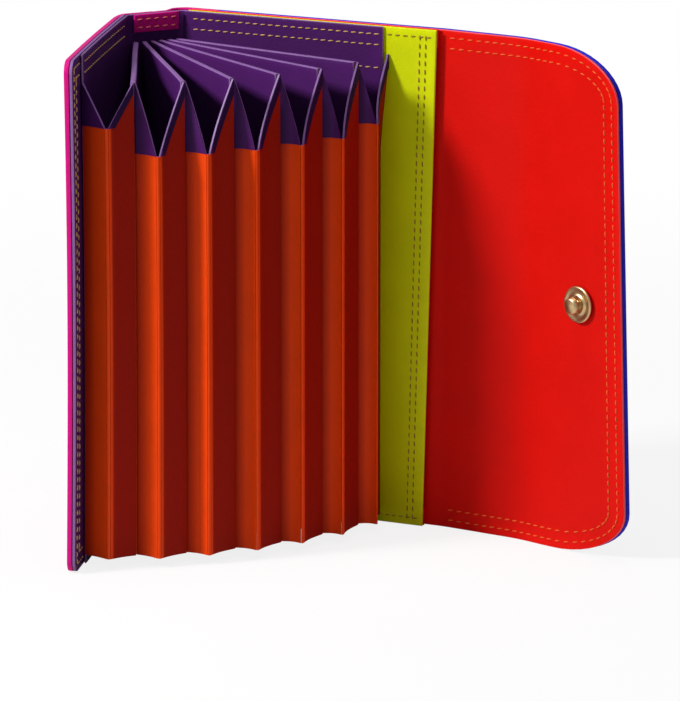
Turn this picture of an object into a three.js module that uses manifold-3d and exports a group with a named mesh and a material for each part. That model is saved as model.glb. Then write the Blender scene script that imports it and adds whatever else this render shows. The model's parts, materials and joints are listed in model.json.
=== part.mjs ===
// Accordion card holder in coloured leather, standing open.
//
// A stiff back carries everything. On its left edge hinges a narrow spine, and on
// the spine a cover. Seven card pockets fan out between cover and back: six
// dividers rooted in the spine, with a folded gusset closing each pocket's mouth
// side. On the right edge of the back hinges a flap in two lengths, which carries
// the press stud. All folds are upright lines, so the holder is laid out in plan.
//
// Millimetres, +Z up. The back runs along +X, its pockets face -Y.

import * as THREE from 'three';
import { mergeVertices } from 'three/addons/utils/BufferGeometryUtils.js';
import Module from 'manifold-3d';

const wasm = await Module();
wasm.setup();

// Overall sizes
const HEIGHT = 110;
const COVER_WIDTH = 57;
const BACK_WIDTH = 61.5;
const FLAP_SIDE = 19.5;
const FLAP_FRONT = 28.5;
const COVER_CORNER = 3;
const FLAP_CORNER = 8;

// Leather thicknesses
const OUTER_SKIN = 1.0;
const LINING = 0.6;
const WALL_SKIN = 0.5;
const SLIP_SKIN = 0.6;

// Clearances: between glued layers, at folds, and where a gusset meets its divider
const SEAM = 0.2;
const FOLD_GAP = 0.15;
const FREE_END_GAP = 0.8;

// Accordion: closed, the pockets stack at one pitch along the spine
const POCKETS = 7;
const PITCH = 2.0;
const DIVIDER = 1.2;
const DIVIDER_REACH = 47.5;
const ROOT_OFFSET = 0.75;
const ROOT_TAIL = 0.2;
const GUSSET = 6;
const GUSSET_SKIN = 0.5;
const GUSSET_DROP = 15;
const DIVIDER_TOP_DROP = 6;
const ACCORDION_FOOT = 2;

// Slip pocket behind the accordion, open towards the flap
const SLIP_GAP = 1.2;
const SLIP_WELT = 4;
const SLIP_MOUTH_INSET = 1;

// Turned-in hem along the top of the spine
const HEM_HEIGHT = 4;
const HEM_SKIN = 0.6;

// Press stud: knob on the flap, socket on the cover
const STUD_INSET = 11.5;
const STUD_BASE_RADIUS = 4;
const STUD_BASE_HEIGHT = 0.9;
const STUD_KNOB_RADIUS = 1.9;
const STUD_KNOB_HEIGHT = 2.4;
const STUD_SHANK_RADIUS = 1.0;
const STUD_CLEARANCE = 0.25;
const SOCKET_RADIUS = 4.2;
const SOCKET_BORE = 2.4;
const SOCKET_HEIGHT = 1.0;
const SOCKET_BARREL_WALL = 0.5;

// How far the holder stands open, in degrees
const OPENING = 75;
const FLAP_SIDE_TURN = 7;
const FLAP_FRONT_TURN = 15;

const ROUND_SEGMENTS = 24;
const BEAD_SEGMENTS = 12;

const radians = THREE.MathUtils.degToRad;

const material = (color, roughness = 0.55, metalness = 0) =>
  new THREE.MeshStandardMaterial({ color, roughness, metalness });

const COLOURS = {
  magenta: '#b01c7c',
  purple: '#6a4274',
  orange: '#dc522b',
  lime: '#c6ca03',
  red: '#d01800',
  blue: '#2728b0',
  brass: '#c8a272',
};

const cardHolder = new THREE.Group();

// Plan geometry: directions are angles turned from +X, counter-clockwise

const along = (angle) => new THREE.Vector2(Math.cos(angle), Math.sin(angle));
const leftOf = (angle) => new THREE.Vector2(-Math.sin(angle), Math.cos(angle));

const step = (point, angle, forward, left = 0) =>
  point.clone().addScaledVector(along(angle), forward).addScaledVector(leftOf(angle), left);

const opening = radians(OPENING);
const pocketGap = PITCH - DIVIDER;
const spineWidth = POCKETS * PITCH - DIVIDER;

// The spine runs from the cover's corner to the back's corner at the origin
const spineAngle = Math.PI / 2 - opening / 2;
const backCorner = new THREE.Vector2(0, 0);
const coverCorner = step(backCorner, spineAngle, -spineWidth);
const coverAngle = -opening;

// Dividers are numbered from the cover; 0 is the cover and POCKETS is the back
const dividerAngle = (k) => -opening * (1 - k / POCKETS);
const dividerRoot = (k) => step(coverCorner, spineAngle, k * PITCH - DIVIDER / 2, -ROOT_OFFSET);

// Fold lines where the gussets leave the divider, on its two faces
function rightFold(k) {
  if (k === 0) {
    return step(coverCorner, coverAngle, ROOT_OFFSET + DIVIDER_REACH);
  }
  return step(dividerRoot(k), dividerAngle(k), DIVIDER_REACH, DIVIDER / 2);
}

function leftFold(k) {
  if (k === POCKETS) {
    return step(backCorner, 0, ROOT_OFFSET + DIVIDER_REACH);
  }
  return step(dividerRoot(k), dividerAngle(k), DIVIDER_REACH, -DIVIDER / 2);
}

// The outward fold of a pocket: equally far from the fold lines on either side
const gussetReach = Math.hypot(GUSSET, pocketGap / 2);
const gussetSkew = Math.atan2(pocketGap / 2, GUSSET);

function pocketFold(k) {
  const a = rightFold(k - 1);
  const b = leftFold(k);
  const chord = b.clone().sub(a);
  const half = chord.length() / 2;
  const rise = Math.sqrt(gussetReach ** 2 - half ** 2);
  return step(a, chord.angle(), half, -rise);
}

const angleBetween = (from, to) => to.clone().sub(from).angle();

// Flap, hinged on the inner face of the back's lining
const wallDepth = WALL_SKIN + SEAM;
const slipDepth = wallDepth + SLIP_SKIN;
const liningDepth = slipDepth + SLIP_GAP;
const flapCorner = step(backCorner, 0, BACK_WIDTH, liningDepth);
const flapSideAngle = -radians(FLAP_SIDE_TURN);
const flapBend = step(flapCorner, flapSideAngle, FLAP_SIDE);
const flapFrontAngle = flapSideAngle - radians(FLAP_FRONT_TURN);

// Shapes: a sheet is an outline in length and height, pushed through its thickness

function rectangle(u0, u1, z0, z1) {
  const shape = new THREE.Shape();
  shape.moveTo(u0, z0);
  shape.lineTo(u1, z0);
  shape.lineTo(u1, z1);
  shape.lineTo(u0, z1);
  shape.closePath();
  return shape;
}

function roundedFreeEdge(u0, u1, z0, z1, radius) {
  const shape = new THREE.Shape();
  shape.moveTo(u0, z0);
  shape.lineTo(u1 - radius, z0);
  shape.absarc(u1 - radius, z0 + radius, radius, -Math.PI / 2, 0, false);
  shape.absarc(u1 - radius, z1 - radius, radius, 0, Math.PI / 2, false);
  shape.lineTo(u0, z1);
  shape.closePath();
  return shape;
}

function slantedTop(u0, u1, z0, topAt) {
  const shape = new THREE.Shape();
  shape.moveTo(u0, z0);
  shape.lineTo(u1, z0);
  shape.lineTo(u1, topAt(u1));
  shape.lineTo(u0, topAt(u0));
  shape.closePath();
  return shape;
}

function pierce(shape, u, z, radius) {
  const hole = new THREE.Path();
  hole.absarc(u, z, radius, 0, 2 * Math.PI, true);
  shape.holes.push(hole);
  return shape;
}

// A sheet whose outline lies in local X and Z, between v0 and v0 + thickness in local Y
function sheet(shape, v0, thickness) {
  const geometry = new THREE.ExtrudeGeometry(shape, {
    depth: thickness,
    bevelEnabled: false,
    curveSegments: ROUND_SEGMENTS / 4,
  });
  geometry.rotateX(Math.PI / 2);
  geometry.translate(0, v0 + thickness, 0);
  return geometry;
}

function toSolid(geometry) {
  const bare = geometry.clone();
  bare.deleteAttribute('normal');
  bare.deleteAttribute('uv');
  const merged = mergeVertices(bare, 1e-5);
  return new wasm.Manifold(new wasm.Mesh({
    numProp: 3,
    vertProperties: new Float32Array(merged.attributes.position.array),
    triVerts: new Uint32Array(merged.index.array),
  }));
}

function joined(...geometries) {
  const solid = geometries.map(toSolid).reduce((sum, next) => sum.add(next));
  const mesh = solid.getMesh();
  const geometry = new THREE.BufferGeometry();
  geometry.setAttribute('position', new THREE.BufferAttribute(mesh.vertProperties, 3));
  geometry.setIndex(new THREE.BufferAttribute(mesh.triVerts, 1));
  geometry.computeVertexNormals();
  return geometry;
}

// A frame standing on a plan point, with local X along the given direction
function frameAt(point, angle) {
  const frame = new THREE.Group();
  frame.position.set(point.x, point.y, 0);
  frame.rotation.z = angle;
  cardHolder.add(frame);
  return frame;
}

function place(frame, name, geometry, look) {
  const mesh = new THREE.Mesh(geometry, look);
  mesh.name = name;
  frame.add(mesh);
  return mesh;
}

// Back: accordion wall, slip pocket panel and its welts, lining, outer skin

const back = frameAt(backCorner, 0);
const slipWidth = BACK_WIDTH - SLIP_MOUTH_INSET;
const outerDepth = liningDepth + LINING + SEAM;
const backEnd = BACK_WIDTH - FOLD_GAP;

const foldReach = ROOT_OFFSET + DIVIDER_REACH - FOLD_GAP;

place(back, 'accordion_back_wall',
  sheet(rectangle(FOLD_GAP, foldReach, 0, HEIGHT), 0, WALL_SKIN),
  material(COLOURS.purple));
place(back, 'slip_panel',
  sheet(rectangle(FOLD_GAP, slipWidth, 0, HEIGHT), wallDepth, SLIP_SKIN),
  material(COLOURS.lime));

const weltSkin = SLIP_GAP - 2 * SEAM;
place(back, 'slip_welt_bottom',
  sheet(rectangle(FOLD_GAP, slipWidth, 0, SLIP_WELT), slipDepth + SEAM, weltSkin),
  material(COLOURS.red));
place(back, 'slip_welt_top',
  sheet(rectangle(FOLD_GAP, slipWidth, HEIGHT - SLIP_WELT, HEIGHT), slipDepth + SEAM, weltSkin),
  material(COLOURS.red));

place(back, 'back_lining',
  sheet(rectangle(FOLD_GAP, backEnd, 0, HEIGHT), liningDepth, LINING),
  material(COLOURS.red));
place(back, 'back_outer',
  sheet(rectangle(FOLD_GAP, backEnd, 0, HEIGHT), outerDepth, OUTER_SKIN),
  material(COLOURS.blue));

// Spine: lining, outer skin and the turned-in hem at the top

const spine = frameAt(coverCorner, spineAngle);
const spineEnd = spineWidth - FOLD_GAP;

place(spine, 'spine_lining',
  sheet(rectangle(FOLD_GAP, spineEnd, 0, HEIGHT), 0, LINING),
  material(COLOURS.purple));
place(spine, 'spine_outer',
  sheet(rectangle(FOLD_GAP, spineEnd, 0, HEIGHT), LINING + SEAM, OUTER_SKIN),
  material(COLOURS.magenta));
place(spine, 'spine_top_hem',
  sheet(rectangle(1, spineWidth - 1, HEIGHT - HEM_HEIGHT, HEIGHT), -SEAM - HEM_SKIN, HEM_SKIN),
  material(COLOURS.magenta));

// Cover: accordion wall, lining, outer skin, socket of the press stud

const cover = frameAt(coverCorner, coverAngle);
const coverLiningFace = -WALL_SKIN - SEAM;
const coverOuterFace = coverLiningFace - LINING - SEAM;
const coverBackFace = coverOuterFace - OUTER_SKIN;
const socketU = BACK_WIDTH - (FLAP_FRONT - STUD_INSET);
const socketHole = SOCKET_BORE + SOCKET_BARREL_WALL + STUD_CLEARANCE;

place(cover, 'accordion_front_wall',
  sheet(rectangle(FOLD_GAP, foldReach, 0, HEIGHT), -WALL_SKIN, WALL_SKIN),
  material(COLOURS.purple));
place(cover, 'cover_lining',
  sheet(roundedFreeEdge(FOLD_GAP, COVER_WIDTH, 0, HEIGHT, COVER_CORNER),
    coverLiningFace - LINING, LINING),
  material(COLOURS.purple));

const coverOutline = roundedFreeEdge(FOLD_GAP, COVER_WIDTH, 0, HEIGHT, COVER_CORNER);
pierce(coverOutline, socketU, HEIGHT / 2, socketHole);
place(cover, 'cover_outer',
  sheet(coverOutline, coverBackFace, OUTER_SKIN),
  material(COLOURS.magenta));

// Ring on the skin with its barrel in the hole, turned about local Y
function socketGeometry() {
  const barrel = SOCKET_BORE + SOCKET_BARREL_WALL;
  const profile = [
    [SOCKET_BORE, -OUTER_SKIN],
    [barrel, -OUTER_SKIN],
    [barrel, SEAM],
    [SOCKET_RADIUS, SEAM],
    [SOCKET_RADIUS, SEAM + SOCKET_HEIGHT / 2],
    [barrel, SEAM + SOCKET_HEIGHT],
    [SOCKET_BORE, SEAM + SOCKET_HEIGHT],
    [SOCKET_BORE, -OUTER_SKIN],
  ];
  return new THREE.LatheGeometry(profile.map(([r, y]) => new THREE.Vector2(r, y)), ROUND_SEGMENTS);
}

const socket = place(cover, 'stud_socket', socketGeometry(), material(COLOURS.brass, 0.3, 1));
socket.rotation.x = Math.PI;
socket.position.set(socketU, coverBackFace, HEIGHT / 2);

// Flap: side length over the edge, front length with the stud's knob

const flapSide = frameAt(flapCorner, flapSideAngle);
const flapSideEnd = FLAP_SIDE - FOLD_GAP;

place(flapSide, 'flap_side_lining',
  sheet(rectangle(FOLD_GAP, flapSideEnd, 0, HEIGHT), 0, LINING),
  material(COLOURS.red));
place(flapSide, 'flap_side_outer',
  sheet(rectangle(FOLD_GAP, flapSideEnd, 0, HEIGHT), LINING + SEAM, OUTER_SKIN),
  material(COLOURS.blue));

const flapFront = frameAt(flapBend, flapFrontAngle);
const studU = FLAP_FRONT - STUD_INSET;
const shankHole = STUD_SHANK_RADIUS + STUD_CLEARANCE;

const flapLiningOutline = roundedFreeEdge(FOLD_GAP, FLAP_FRONT, 0, HEIGHT, FLAP_CORNER);
pierce(flapLiningOutline, studU, HEIGHT / 2, shankHole);
place(flapFront, 'flap_front_lining',
  sheet(flapLiningOutline, 0, LINING),
  material(COLOURS.red));
place(flapFront, 'flap_front_outer',
  sheet(roundedFreeEdge(FOLD_GAP, FLAP_FRONT, 0, HEIGHT, FLAP_CORNER), LINING + SEAM, OUTER_SKIN),
  material(COLOURS.blue));

// Dished washer that the knob stands on
function studBaseGeometry() {
  const top = SEAM + STUD_BASE_HEIGHT;
  const profile = [
    [shankHole, SEAM],
    [STUD_BASE_RADIUS, SEAM],
    [STUD_BASE_RADIUS, SEAM + STUD_BASE_HEIGHT / 3],
    [STUD_BASE_RADIUS - STUD_BASE_HEIGHT / 2, top],
    [shankHole, top],
    [shankHole, SEAM],
  ];
  return new THREE.LatheGeometry(profile.map(([r, y]) => new THREE.Vector2(r, y)), ROUND_SEGMENTS);
}

// Knob with a rounded head, and its shank through the washer and the lining
function studKnobGeometry() {
  const seat = SEAM + STUD_BASE_HEIGHT + SEAM;
  const waist = seat + STUD_KNOB_HEIGHT / 3;
  const crown = seat + STUD_KNOB_HEIGHT;
  const outline = new THREE.Path();
  outline.moveTo(0, -LINING);
  outline.lineTo(STUD_SHANK_RADIUS, -LINING);
  outline.lineTo(STUD_SHANK_RADIUS, seat);
  outline.lineTo(STUD_KNOB_RADIUS * 0.85, seat);
  outline.quadraticCurveTo(STUD_KNOB_RADIUS * 0.75, waist, STUD_KNOB_RADIUS, waist + STUD_KNOB_HEIGHT / 4);
  outline.quadraticCurveTo(STUD_KNOB_RADIUS, crown, 0, crown);
  return new THREE.LatheGeometry(outline.getPoints(4), ROUND_SEGMENTS);
}

for (const [name, geometry] of [['stud_base', studBaseGeometry()], ['stud_knob', studKnobGeometry()]]) {
  const mesh = place(flapFront, name, geometry, material(COLOURS.brass, 0.3, 1));
  mesh.rotation.x = Math.PI;
  mesh.position.set(studU, 0, HEIGHT / 2);
}

// Dividers, each rooted in the spine

const dividerTop = HEIGHT - DIVIDER_TOP_DROP;

for (let k = 1; k < POCKETS; k += 1) {
  const frame = frameAt(dividerRoot(k), dividerAngle(k));
  place(frame, `divider_${k}`,
    sheet(rectangle(-ROOT_TAIL, DIVIDER_REACH - FOLD_GAP, ACCORDION_FOOT, dividerTop),
      -DIVIDER / 2, DIVIDER),
    material(COLOURS.purple));
}

// Gussets: the left half carries the rounded fold, the right half returns from it

const foldRadius = pocketGap / 2 + GUSSET_SKIN;
const gussetTop = (u) => dividerTop - GUSSET_DROP * u / GUSSET;

function foldBead() {
  const length = gussetTop(GUSSET) - ACCORDION_FOOT;
  const bead = new THREE.CylinderGeometry(foldRadius, foldRadius, length, BEAD_SEGMENTS);
  bead.rotateX(Math.PI / 2);
  bead.translate(GUSSET, pocketGap / 2, ACCORDION_FOOT + length / 2);
  return bead;
}

for (let k = 1; k <= POCKETS; k += 1) {
  const fold = pocketFold(k);

  const leftStart = rightFold(k - 1);
  const left = frameAt(leftStart, angleBetween(leftStart, fold) - gussetSkew);
  place(left, `gusset_left_${k}`,
    joined(
      sheet(slantedTop(FOLD_GAP, GUSSET, ACCORDION_FOOT, gussetTop), -GUSSET_SKIN, GUSSET_SKIN),
      foldBead(),
    ),
    material(COLOURS.orange));

  const rightStart = leftFold(k);
  const right = frameAt(rightStart, angleBetween(rightStart, fold) + gussetSkew);
  place(right, `gusset_right_${k}`,
    sheet(slantedTop(FREE_END_GAP, GUSSET - foldRadius - SEAM, ACCORDION_FOOT, gussetTop),
      0, GUSSET_SKIN),
    material(COLOURS.orange));
}

// Stand the holder over the middle of its own footprint
cardHolder.updateMatrixWorld(true);
const footprint = new THREE.Box3().setFromObject(cardHolder);
const middle = footprint.getCenter(new THREE.Vector3());
for (const frame of cardHolder.children) {
  frame.position.x -= middle.x;
  frame.position.y -= middle.y;
}

export default cardHolder;
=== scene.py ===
import json
import math

import bmesh
import bpy
from mathutils import Matrix, Vector


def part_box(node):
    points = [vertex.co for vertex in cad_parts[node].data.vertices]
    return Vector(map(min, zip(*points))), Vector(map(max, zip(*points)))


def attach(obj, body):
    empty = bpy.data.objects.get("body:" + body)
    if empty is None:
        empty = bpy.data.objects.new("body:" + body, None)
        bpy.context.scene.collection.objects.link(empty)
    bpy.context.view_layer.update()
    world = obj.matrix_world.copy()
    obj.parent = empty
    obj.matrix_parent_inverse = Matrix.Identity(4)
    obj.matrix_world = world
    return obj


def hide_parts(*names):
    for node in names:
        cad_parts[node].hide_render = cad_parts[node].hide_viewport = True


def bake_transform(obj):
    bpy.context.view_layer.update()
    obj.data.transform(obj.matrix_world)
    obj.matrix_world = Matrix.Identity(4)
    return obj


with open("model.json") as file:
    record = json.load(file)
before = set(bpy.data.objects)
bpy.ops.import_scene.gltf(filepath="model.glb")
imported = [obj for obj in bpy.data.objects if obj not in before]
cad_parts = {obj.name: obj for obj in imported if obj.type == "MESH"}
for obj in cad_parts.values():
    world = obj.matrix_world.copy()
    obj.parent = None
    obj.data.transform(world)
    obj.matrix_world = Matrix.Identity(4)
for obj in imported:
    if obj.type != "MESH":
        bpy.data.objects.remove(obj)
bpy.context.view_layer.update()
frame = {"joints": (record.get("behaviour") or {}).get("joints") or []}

bl_info = {
    "name": "Accordion card holder",
    "version": (1, 0, 0),
    "blender": (4, 5, 0),
    "location": "View3D > Sidebar > Card holder",
    "description": "Leather skins, stitching and press stud of an accordion card holder",
    "category": "Object",
}

MM = 0.001
POCKETS = 7

# Plan of the holder, read from the hinges of the frame

HINGE = {joint["name"]: Vector(joint["pos_m"][:2]) for joint in frame["joints"]}
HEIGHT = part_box("back_outer")[1][2]
DIVIDER_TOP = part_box("divider_1")[1][2]
ACCORDION_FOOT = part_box("divider_1")[0][2]


def heading(step):
    return math.atan2(step.y, step.x)


def along(angle):
    return Vector((math.cos(angle), math.sin(angle)))


def left_of(angle):
    return Vector((-math.sin(angle), math.cos(angle)))


BACK_CORNER = HINGE["spine_fold"]
COVER_CORNER = HINGE["cover_fold"]
FLAP_CORNER = HINGE["flap_side_fold"]
FLAP_BEND = HINGE["flap_front_fold"]

SPINE_WIDTH = (BACK_CORNER - COVER_CORNER).length
SPINE_HEADING = heading(BACK_CORNER - COVER_CORNER)
OPENING = math.pi - 2 * SPINE_HEADING
COVER_HEADING = -OPENING
SIDE_LENGTH = (FLAP_BEND - FLAP_CORNER).length
SIDE_HEADING = heading(FLAP_BEND - FLAP_CORNER)
FRONT_HEADING = SIDE_HEADING - math.radians(15)
SPINE_MIDDLE = (BACK_CORNER + COVER_CORNER) / 2
SIDE_MIDDLE = (FLAP_CORNER + FLAP_BEND) / 2

BACK_WIDTH = FLAP_CORNER.x - BACK_CORNER.x
COVER_WIDTH = 57 * MM
FRONT_LENGTH = 28.5 * MM
WALL_REACH = 48.1 * MM
SLIP_END = BACK_WIDTH - 1 * MM
LAYER_START = 1.2 * MM
BACK_SKIN_START = 7.15 * MM
SPINE_LAP = 7 * MM
WELT_WIDTH = 4 * MM
HEM_HEIGHT = 4 * MM
HEM_INSET = 1 * MM
FLAP_CORNER_RADIUS = (19 * MM, 10.5 * MM)
COVER_CORNER_RADIUS = (3 * MM, 3 * MM)
SPINE_RADIUS = 1.6 * MM
SIDE_RADIUS = 20 * MM
FRONT_RADIUS = 26 * MM
STUD_INSET = 11.5 * MM

# A piece that is cut in the middle of the spine or of the flap's side starts or ends there
COVER_RUN = SPINE_WIDTH / 2
COVER_END = COVER_RUN + COVER_WIDTH
WALL_END = COVER_RUN + WALL_REACH
SIDE_RUN = SIDE_LENGTH / 2
BACK_END = BACK_WIDTH + SIDE_RUN
FLAP_END = SIDE_RUN + FRONT_LENGTH

# Layers of leather: offsets of both faces to the left of the plan line
NEAR, FAR = 0, 1
COVER_SKIN = (-1.0 * MM, 0)
COVER_LINING = (-1.3 * MM, -0.7 * MM)
FIRST_WALL = (-0.55 * MM, 0)
SPINE_SKIN = (0, 1.0 * MM)
SPINE_HEM = (-0.8 * MM, -0.2 * MM)
LAST_WALL = (0, 0.55 * MM)
SLIP_PANEL = (0.7 * MM, 1.3 * MM)
SLIP_WELT = (1.5 * MM, 2.3 * MM)
RED_LINING = (0, 0.6 * MM)
BLUE_SKIN = (0.8 * MM, 1.8 * MM)

# Bends: two bodies, their hinge, the way from it to each of them and the reach of the bend
TO_COVER = along(COVER_HEADING)
COVER_BEND = ("spine", "cover", COVER_CORNER, along(SPINE_HEADING), TO_COVER, 3 * MM)
SPINE_BEND = ("spine", "back", BACK_CORNER, along(SPINE_HEADING + math.pi), along(0.0), 3 * MM)
SIDE_BEND = ("back", "flap_side", FLAP_CORNER, along(math.pi), along(SIDE_HEADING), 4 * MM)
FRONT_BEND = ("flap_side", "flap_front", FLAP_BEND, along(SIDE_HEADING + math.pi),
              along(FRONT_HEADING), 5 * MM)

# Accordion; POCKET_REACH, FOLD_DROP and FOLD_LEAN are in millimetres
POCKET_REACH = 48.25
DIVIDER_REACH = 47.5 * MM
DIVIDER_SKIN = 1.2 * MM
DIVIDER_TAIL = 0.2 * MM
DIVIDER_LAP = 0.1 * MM
GUSSET = 6 * MM
GUSSET_SKIN = 0.4 * MM
GUSSET_LAP = 0.15 * MM
GUSSET_STEP = 0.75 * MM
GUSSET_RISE = 5 * MM
FOLD_RADIUS = 0.4 * MM
FOLD_DROP = (9, 15, 15, 15, 15, 15, 13.5)
FOLD_LEAN = (0.0, 0.8, 1.3, 1.7, 2.1, 2.5, 2.8)
FOLD_BLEND = 0.6 * MM
FAN_FADE = 2.5
GUSSET_HEM = 1.3 * MM
HEM_SLOPE = 0.05 * MM

# Meshing
CELL = 3.2 * MM
COARSE_CELL = 4 * MM
FINE_CELL = 1.5 * MM
WEAR_LINES = (1.2 * MM, 5 * MM)
WEAR_WIDTH = 6 * MM
TALL_PIECE = 20 * MM
EDGE_FRONT_DROP = 4.5 * MM
BEND_STEPS = 8
CORNER_SEGMENTS = 12
EDGE_SEGMENTS = 3
EDGE_SHARE = 0.45
CUT_DISTANCE = 1e-7
UPRIGHT = (0, 0, 1)


def divider_heading(k):
    return -OPENING * (1 - k / POCKETS)


def sewn_edge(k, side):
    """Plan point where the gussets leave divider k; 0 is the cover and POCKETS the back."""
    if k == 0:
        return COVER_CORNER + TO_COVER * POCKET_REACH * MM
    if k == POCKETS:
        return BACK_CORNER + Vector((POCKET_REACH * MM, 0))
    angle = divider_heading(k)
    root = HINGE[f"divider_{k}_turn"]
    return root + along(angle) * DIVIDER_REACH + left_of(angle) * side * DIVIDER_SKIN / 2


def srgb(red, green, blue):
    """A colour given in 8-bit display values, as the shader wants it."""
    def linear(value):
        value /= 255
        return value / 12.92 if value <= 0.04045 else ((value + 0.055) / 1.055) ** 2.4
    return (linear(red), linear(green), linear(blue), 1.0)


# Settings

def colour(name, red, green, blue):
    return bpy.props.FloatVectorProperty(
        name=name, description=f"Colour of the {name.lower()}", subtype="COLOR",
        size=4, min=0, max=1, default=srgb(red, green, blue))


def length(name, description, millimetres):
    return bpy.props.FloatProperty(
        name=name, description=description, subtype="DISTANCE", unit="LENGTH",
        default=millimetres * MM, precision=5)


class HolderColours(bpy.types.PropertyGroup):
    magenta: colour("Magenta leather", 196, 14, 120)
    purple: colour("Purple leather", 70, 26, 90)
    lilac: colour("Purple cut edges", 126, 84, 148)
    orange: colour("Orange leather", 228, 66, 12)
    lime: colour("Lime leather", 196, 206, 2)
    red: colour("Red leather", 208, 9, 1)
    rose: colour("Red cut edges", 232, 74, 84)
    blue: colour("Blue leather", 26, 28, 180)
    gold_thread: colour("Gold thread", 222, 172, 104)
    pink_thread: colour("Pink thread", 244, 120, 110)
    olive_thread: colour("Olive thread", 160, 128, 16)
    orange_thread: colour("Orange thread", 255, 104, 26)
    lilac_thread: colour("Lilac thread", 168, 140, 206)
    brass: colour("Stud metal", 214, 186, 140)
    floor: colour("Floor", 236, 235, 233)


class HolderSizes(bpy.types.PropertyGroup):
    cover_curl: length(
        "Cover curl",
        "How far the foot of the free cover edge curls inwards; the top curls twice as far", 0.6)
    cover_bow: length("Cover bow", "How much further it bows inwards at half height", 0.5)
    flap_lean: length(
        "Flap lean", "How far the foot of the flap stands further out than its top", 4.5)
    edge_round: length("Edge rounding", "Radius of the burnished leather edges", 0.3)
    slip_slant: length(
        "Slip pocket slant", "How far the foot of the slip pocket edge lies further in", 3.0)
    seam_run: length("Seam run", "How far the last seam runs in below the mouth", 1.8)
    hollow: length("Gusset hollow", "How far each half of a gusset sags inwards", 0.3)
    hem_rise: length("Hem rise", "Thickness of the turned-over gusset hem", 0.16)
    stitch_pitch: length("Stitch pitch", "Distance from stitch to stitch", 1.8)
    stitch_length: length("Stitch length", "Visible length of a stitch", 1.3)
    thread_radius: length("Thread radius", "Radius of the sewing thread", 0.17)
    row_outer: length("Outer row", "Distance of the outer stitch row from the edge", 1.7)
    row_inner: length("Inner row", "Distance of the inner stitch row from the edge", 4.0)


def sizes():
    return bpy.context.scene.holder_sizes


# Materials

def calculation(operation, swapped=False):
    """An operator of a wire, which adds a Math node."""
    def apply(wire, other):
        return wire.math(operation, *((other, wire) if swapped else (wire, other)))
    return apply


class Wire:
    """A shader value; expressions of wires and numbers become Math nodes."""

    def __init__(self, shader, socket):
        self.shader = shader
        self.socket = socket

    def math(self, operation, *values):
        return self.shader.node("ShaderNodeMath", {"operation": operation},
                                dict(enumerate(values)))["Value"]

    __add__, __radd__ = calculation("ADD"), calculation("ADD", swapped=True)
    __sub__, __rsub__ = calculation("SUBTRACT"), calculation("SUBTRACT", swapped=True)
    __mul__, __rmul__ = calculation("MULTIPLY"), calculation("MULTIPLY", swapped=True)
    __pow__, __rpow__ = calculation("POWER"), calculation("POWER", swapped=True)


# Sockets of a colour Mix, which share their names with those of its other kinds
MIX_FACTOR, MIX_FIRST, MIX_SECOND, MIX_RESULT = 0, 6, 7, 2


class Shader:
    """The nodes of a material or of the world."""

    def __init__(self, owner):
        owner.use_nodes = True
        self.tree = owner.node_tree
        self.tree.nodes.clear()

    def node(self, kind, settings=None, inputs=None):
        """Add a node, set it up, feed its sockets, and give its outputs by number and by name."""
        made = self.tree.nodes.new(kind)
        for key, value in (settings or {}).items():
            setattr(made, key, value)
        for key, value in (inputs or {}).items():
            if isinstance(value, Wire):
                self.tree.links.new(value.socket, made.inputs[key])
            else:
                made.inputs[key].default_value = value
        wires = {}
        for i, output in enumerate(made.outputs):
            wires[i] = wires[output.name] = Wire(self, output)
        return wires

    def place(self):
        return self.node("ShaderNodeTexCoord")["Object"]

    def noise(self, place, scale, detail=2.0, **more):
        return self.node("ShaderNodeTexNoise", {}, {
            "Vector": place, "Scale": scale, "Detail": detail, **more})["Fac"]

    def mix(self, factor, first, second):
        """Colour from first to second by factor."""
        return self.node("ShaderNodeMix", {"data_type": "RGBA"}, {
            MIX_FACTOR: factor, MIX_FIRST: first, MIX_SECOND: second})[MIX_RESULT]

    def coat(self, shade, roughness, relief, **more):
        """The finished surface; relief is the strength, depth and height of its bumps."""
        strength, depth, height = relief
        bump = self.node("ShaderNodeBump", {}, {
            "Strength": strength, "Distance": depth, "Height": height})["Normal"]
        return self.node("ShaderNodeBsdfPrincipled", {}, {
            "Base Color": shade, "Roughness": roughness, "Normal": bump, **more})["BSDF"]


def tinted(shade, factor):
    return tuple(min(1.0, c * factor) for c in shade[:3]) + (1.0,)


def painted_shade_tone(shade):
    """Colour of painted shade: the dye made darker, and purer in its strongest channel."""
    top = max(shade[:3])
    return tuple(0.3 * c * c / top for c in shade[:3]) + (1.0,)


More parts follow.
